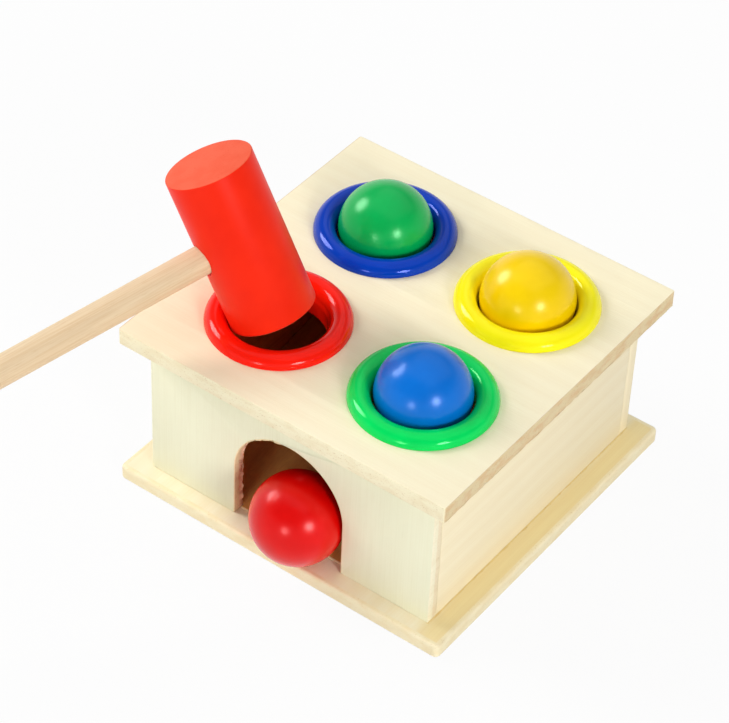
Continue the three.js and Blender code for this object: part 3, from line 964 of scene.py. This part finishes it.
coloured_skin, given, result = start_group("coloured_skin", SKIN_INPUTS)
cloud = rise(coloured_skin, noise(coloured_skin, given["Vector"], CLOUD_SIZE), *CLOUD_LEVELS)
peel = noise(coloured_skin, given["Vector"], PEEL_SIZE, detail=1.0)
uneven = calc(coloured_skin, "MULTIPLY", cloud, given["Uneven"])
colour = mix_colours(coloured_skin, uneven, given["Colour"], given["Thin Colour"])
rough = calc(coloured_skin, "ADD", given["Rough"], calc(coloured_skin, "MULTIPLY", peel, PEEL_ROUGH))
height = calc(coloured_skin, "MULTIPLY", peel, PEEL_HEIGHT)
end_group(coloured_skin, result, colour, rough, height)


def skin_finish(tree, vector, colour, thin, rough, uneven):
    """Paint or plastic with two display colours, its roughness, and how far the thin colour shows."""
    inputs = {"Vector": vector, "Rough": rough, "Uneven": uneven}
    inputs.update({"Colour": shade(*colour), "Thin Colour": shade(*thin)})
    return use_group(tree, coloured_skin, inputs)


def gloss_tint(colour, white):
    """White that leans towards a display colour: a white of 1 has no tint."""
    parts = shade(*colour)[:3]
    return (*[white + (1 - white) * part / max(parts) for part in parts], 1)


def gloss_surface(piece, name, colour, thin, rough, bump, white):
    """A glossy skin on a piece, under a gloss that leans towards its colour."""
    tree = new_material(piece, name)
    skin = skin_finish(tree, millimetres(tree), colour, thin, rough, GLOSS_UNEVEN)
    tint = gloss_tint(colour, white)
    surface(tree, skin, bump, Specular_IOR_Level=GLOSS_LEVEL, Specular_Tint=tint)


# %% [markdown]
# ## The rings
# Each ring is moulded plastic: a round bead that lies on the lid, a mouth that narrows to the grip
# which holds the ball, and a sleeve through the lid. All four are alike, so one section is drawn and
# spun round its axis, and copies with their own mesh go to the four holes. The section's bead is half
# an ellipse, and a half wave of a cosine leads from it into the grip, so that no crease shows in the
# gloss.

# %% Spinning, placing and copying
def spun(name, section, sides):
    """A body spun round the Z axis from a section of [radius, height] points."""
    body = draw_outline(name, [Vector((x, 0, z)) for x, z in section])
    pick(body)
    bpy.ops.mesh.spin(steps=sides, angle=2 * math.pi, center=(0, 0, 0), axis=(0, 0, 1))
    bpy.ops.mesh.select_all(action="SELECT")
    bpy.ops.mesh.remove_doubles(threshold=WELD)
    bpy.ops.mesh.normals_make_consistent(inside=False)
    object_mode()
    return body


def place(piece, matrix):
    """Moves a piece to its place and keeps that place in its mesh."""
    select_only(piece)
    piece.matrix_world = matrix
    bpy.ops.object.transform_apply(location=True, rotation=True, scale=True)


def copy_piece(piece, name):
    made = piece.copy()
    made.data = piece.data.copy()
    made.name = name
    bpy.context.scene.collection.objects.link(made)
    return made


# %% Ring shape
BEAD_HEIGHT = 4.0 * MM
BEAD_RADIUS = 24.4 * MM
BEAD_STEPS = 28
MOUTH_RADIUS = 16.6 * MM
MOUTH_DEPTH = 2.4 * MM
MOUTH_STEPS = 10
GRIP_RADIUS = 16.1 * MM
SLEEVE_RADIUS = 20.0 * MM
SLEEVE_CHAMFER = 0.5 * MM
SLEEVE_LENGTH = 8.0 * MM
RING_SIDES = 128

bead_middle = (BEAD_RADIUS + MOUTH_RADIUS) / 2
bead_half = (BEAD_RADIUS - MOUTH_RADIUS) / 2
ring_section = []
for t in turns(math.pi, BEAD_STEPS):
    ring_section.append((bead_middle + bead_half * math.cos(t), BEAD_HEIGHT * math.sin(t)))
mouth_step = MOUTH_RADIUS - GRIP_RADIUS
for t in turns(math.pi, MOUTH_STEPS)[1:]:
    ring_section.append((GRIP_RADIUS + mouth_step * (1 + math.cos(t)) / 2, -MOUTH_DEPTH * t / math.pi))
ring_section += [
    (GRIP_RADIUS, SLEEVE_CHAMFER - SLEEVE_LENGTH),
    (GRIP_RADIUS + SLEEVE_CHAMFER, -SLEEVE_LENGTH),
    (SLEEVE_RADIUS, -SLEEVE_LENGTH),
    (SLEEVE_RADIUS, 0),
    ring_section[0],
]
first_ring = spun("ring", ring_section, RING_SIDES)
ring_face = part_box("blue_ring")[1].z - BEAD_HEIGHT
rings = {}
for ring_colour in RING_COLOURS:
    ring = copy_piece(first_ring, f"{ring_colour}_lid_ring")
    middle = centre_of(f"{ring_colour}_ring")
    place(ring, Matrix.Translation((middle.x, middle.y, ring_face)))
    finish_piece(ring, "box", f"{ring_colour}_ring")
    rings[ring_colour] = ring
bpy.data.objects.remove(first_ring)

# %% [markdown]
# Moulded plastic is the shiniest finish on the toy, so the rings have the lowest roughness and the
# faintest bump. Each ring has its own two colours, and the gloss leans far towards them.

# %% Ring finish
RING_SHADES = {
    "blue": ((0, 60, 182), (0, 46, 160)),
    "yellow": ((255, 246, 22), (252, 232, 0)),
    "green": ((0, 222, 98), (0, 200, 84)),
    "red": ((255, 28, 8), (236, 14, 4)),
}
RING_ROUGH = 0.09
RING_BUMP = 0.12
GLOSS_WHITE = 0.3

for ring_colour, ring in rings.items():
    plastic = f"{ring_colour}_ring_plastic"
    gloss_surface(ring, plastic, *RING_SHADES[ring_colour], RING_ROUGH, RING_BUMP, GLOSS_WHITE)

# %% [markdown]
# ## The balls
# The balls are turned from wood and dipped in gloss paint. A lathe leaves a small flat at each end of
# the ball, where it was parted off. So the section is not quite a half circle: it starts and ends on
# these flats. It is spun once, and each ball is a copy, tipped by its own angles so that the flats do
# not all point up.

# %% Ball shape
BALL_FLAT = math.radians(4)
BALL_STEPS = 60
BALL_SIDES = 96
BALL_TIPS = {"green": (70, 20, 0), "yellow": (100, -35, 10), "blue": (80, 60, 0), "red": (60, -50, 30)}

low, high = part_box("green_ball")
ball_radius = (high.z - low.z) / 2
ball_turns = turns(math.pi - 2 * BALL_FLAT, BALL_STEPS, start=BALL_FLAT)
ball_section = [(ball_radius * math.sin(t), ball_radius * math.cos(t)) for t in ball_turns]
ball_section = [(0, ball_section[0][1]), *ball_section, (0, ball_section[-1][1])]
first_ball = spun("ball", ball_section, BALL_SIDES)
balls = {}
for ball_colour, tip in BALL_TIPS.items():
    ball = copy_piece(first_ball, f"{ball_colour}_wood_ball")
    turn = Euler([math.radians(angle) for angle in tip]).to_matrix().to_4x4()
    place(ball, Matrix.Translation(centre_of(f"{ball_colour}_ball")) @ turn)
    finish_piece(ball, f"{ball_colour}_ball", f"{ball_colour}_ball")
    balls[ball_colour] = ball
bpy.data.objects.remove(first_ball)

# %% [markdown]
# Dipped paint is softer than moulded plastic: its highlights are wider and whiter. So the balls are
# rougher than the rings, and their gloss leans less towards the colour.

# %% Ball finish
BALL_SHADES = {
    "green": ((0, 177, 84), (0, 161, 70)),
    "yellow": ((248, 210, 0), (236, 194, 0)),
    "blue": ((0, 113, 213), (0, 99, 198)),
    "red": ((226, 4, 2), (202, 0, 0)),
}
BALL_ROUGH = 0.22
BALL_BUMP = 0.15
BALL_GLOSS_WHITE = 0.45

for ball_colour, ball in balls.items():
    paint = f"{ball_colour}_gloss_paint"
    gloss_surface(ball, paint, *BALL_SHADES[ball_colour], BALL_ROUGH, BALL_BUMP, BALL_GLOSS_WHITE)

# %% [markdown]
# ## The hammer
# The head is a painted wooden cylinder with crisp ends, and the handle is a bare dowel that is glued
# into its side. In the picture the hammer leans in the red ring, so both pieces are modelled upright
# and then turned by the same three angles as the solid: a twist about the head's axis, a lean, and a
# heading. The hole for the handle is drilled from the side with a wide bit at its rim, which leaves a
# shallow scoop round the handle.

# %% Hammer's place
HEAD_LEAN = math.radians(25.83)
HEAD_HEADING = math.radians(-171.68)
HANDLE_TWIST = math.radians(55.3)

hammer_turn = (
    Matrix.Rotation(HEAD_HEADING, 4, "Z")
    @ Matrix.Rotation(HEAD_LEAN, 4, "Y")
    @ Matrix.Rotation(HANDLE_TWIST, 4, "Z")
)
head_centre = centre_of("hammer_head")
hammer_place = Matrix.Translation(head_centre) @ hammer_turn
sideways = Matrix.Rotation(math.pi / 2, 4, "Y")
print("hammer head at", [round(part / MM, 1) for part in head_centre], "mm")

# %% Head shape
HEAD_RADIUS = 14.75 * MM
HEAD_LENGTH = 56.0 * MM
HEAD_CHAMFER = 0.45 * MM
CHAMFER_STEPS = 3
HEAD_SIDES = 128
HANDLE_FOOT = -5.25 * MM
HANDLE_SIDES = 64
SOCKET_RADIUS = 5.15 * MM
SCOOP_RADIUS = 5.9 * MM
SCOOP_DEPTH = 1.2 * MM

half = HEAD_LENGTH / 2
lower_rim = []
for t in turns(math.pi / 2, CHAMFER_STEPS):
    rim_radius = HEAD_RADIUS - HEAD_CHAMFER * (1 - math.sin(t))
    lower_rim.append((rim_radius, HEAD_CHAMFER * (1 - math.cos(t)) - half))
head_section = [(0, -half), *lower_rim, *[(x, -z) for x, z in reversed(lower_rim)], (0, half)]
head = spun("mallet_head", head_section, HEAD_SIDES)

drill_section = [
    (0, HANDLE_FOOT),
    (SOCKET_RADIUS, HANDLE_FOOT),
    (SOCKET_RADIUS, HEAD_RADIUS - SCOOP_DEPTH),
    (SCOOP_RADIUS, HEAD_RADIUS),
    (SCOOP_RADIUS, HEAD_RADIUS + CUT_OVERRUN),
    (0, HEAD_RADIUS + CUT_OVERRUN),
]
drill = spun("drill", drill_section, HANDLE_SIDES)
place(drill, sideways)
take_out(head, drill)
place(head, hammer_place)
finish_piece(head, "hammer", "hammer_head")

# %% Handle shape
HANDLE_RADIUS = 5.0 * MM
HANDLE_REACH = 165.0 * MM
HANDLE_END_RADIUS = 2.0 * MM
HANDLE_END_STEPS = 8

handle_section = [(0, HANDLE_FOOT), (HANDLE_RADIUS, HANDLE_FOOT)]
for t in turns(math.pi / 2, HANDLE_END_STEPS):
    end_radius = HANDLE_RADIUS - HANDLE_END_RADIUS * (1 - math.cos(t))
    handle_section.append((end_radius, HANDLE_REACH - HANDLE_END_RADIUS * (1 - math.sin(t))))
handle_section.append((0, HANDLE_REACH))
handle = spun("mallet_handle", handle_section, HANDLE_SIDES)
place(handle, hammer_place @ sideways)
finish_piece(handle, "hammer", "hammer_handle")

# %% [markdown]
# The head's paint is satin. Its round side took the paint evenly, and its ends are end grain, which
# drank the paint and dried duller with open dots. Their paler salmon is partly that end grain and partly
# a painted sheen: the pale glint that the ends catch. The coordinates are turned with the head, so that
# Z is its axis. The handle's grain follows its own axis in the same way.

# %% Hammer finish
HEAD_RED = (248, 42, 14)
HEAD_THIN_RED = (238, 34, 10)
# The ends' pale salmon below is end grain and a painted sheen.
HEAD_END_AND_SHEEN = ((246, 106, 76), (242, 90, 60), (232, 74, 46), 0.4)
HEAD_ROUGH = 0.38
HEAD_UNEVEN = 0.5
HEAD_BUMP = 0.25
HEAD_GLOSS_LEVEL = 0.25
HANDLE_FACE = ((236, 214, 179), (210, 174, 130), 0.3, 0.35)
HANDLE_END = ((226, 196, 148), (188, 148, 100), (150, 110, 70), 0.4)
HANDLE_GRAIN_TURN = 0.4
HANDLE_END_SKIN = (1.0, 0.3)

tree = new_material(head, "hammer_satin_paint")
spot = millimetres(tree, origin=head_centre, turn=hammer_turn.to_euler())
side_paint = skin_finish(tree, spot, HEAD_RED, HEAD_THIN_RED, HEAD_ROUGH, HEAD_UNEVEN)
# Painted sheen: the head's ends get the paler salmon.
end_paint_and_sheen = cut_finish(tree, spot, *HEAD_END_AND_SHEEN)
at_ends = outside(tree, split(tree, spot)[2], half / MM - CUT_SKIN, softness=0.2)
whole = mix_finish(tree, at_ends, side_paint, end_paint_and_sheen)
tint = gloss_tint(HEAD_RED, GLOSS_WHITE)
surface(tree, whole, HEAD_BUMP, Specular_IOR_Level=HEAD_GLOSS_LEVEL, Specular_Tint=tint)

tree = new_material(handle, "handle_dowel_wood")
handle_turn = (hammer_turn @ Matrix.Rotation(HANDLE_GRAIN_TURN, 4, "X")).to_euler()
spot = millimetres(tree, origin=head_centre, turn=handle_turn)
face = grain_finish(tree, spot, *HANDLE_FACE)
end = cut_finish(tree, spot, *HANDLE_END)
at_end = rise(tree, split(tree, spot)[0], *[HANDLE_REACH / MM - part for part in HANDLE_END_SKIN])
wood_surface(tree, mix_finish(tree, at_end, face, end), BARE_BUMP)

# %% [markdown]
# ## The brads
# Eight small headed pins hold the foot to the walls. Only their heads show, from below. One pin is spun
# from a section with a domed head and a point, gets its finish of bright wire, and is copied to the
# eight places of the frame.

# %% Brads
BRAD_RADIUS = 0.6 * MM
BRAD_POINT = 2 * BRAD_RADIUS
BRAD_HEAD_RADIUS = 1.1 * MM
BRAD_HEAD_HEIGHT = 0.8 * MM
BRAD_DOME = 0.25 * MM
WIRE_SHADES = ((178, 180, 182), (140, 142, 146))
WIRE_ROUGH = 0.28
WIRE_UNEVEN = 0.7
WIRE_BUMP = 0.2

low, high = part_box(BRADS[0])
brad_length = high.z - low.z
brad_section = [
    (0, 0),
    (BRAD_HEAD_RADIUS - BRAD_DOME, 0),
    (BRAD_HEAD_RADIUS, BRAD_DOME),
    (BRAD_HEAD_RADIUS, BRAD_HEAD_HEIGHT),
    (BRAD_RADIUS, BRAD_HEAD_HEIGHT),
    (BRAD_RADIUS, brad_length - BRAD_POINT),
    (0, brad_length),
]
first_brad = spun("brad", brad_section, BRAD_SIDES)
tree = new_material(first_brad, "bright_wire")
wire = skin_finish(tree, millimetres(tree), *WIRE_SHADES, WIRE_ROUGH, WIRE_UNEVEN)
surface(tree, wire, WIRE_BUMP, Metallic=1.0)
for brad in BRADS:
    pin = copy_piece(first_brad, f"{brad}_pin")
    middle = centre_of(brad)
    place(pin, Matrix.Translation((middle.x, middle.y, low.z)))
    finish_piece(pin, "box", brad)
bpy.data.objects.remove(first_brad)
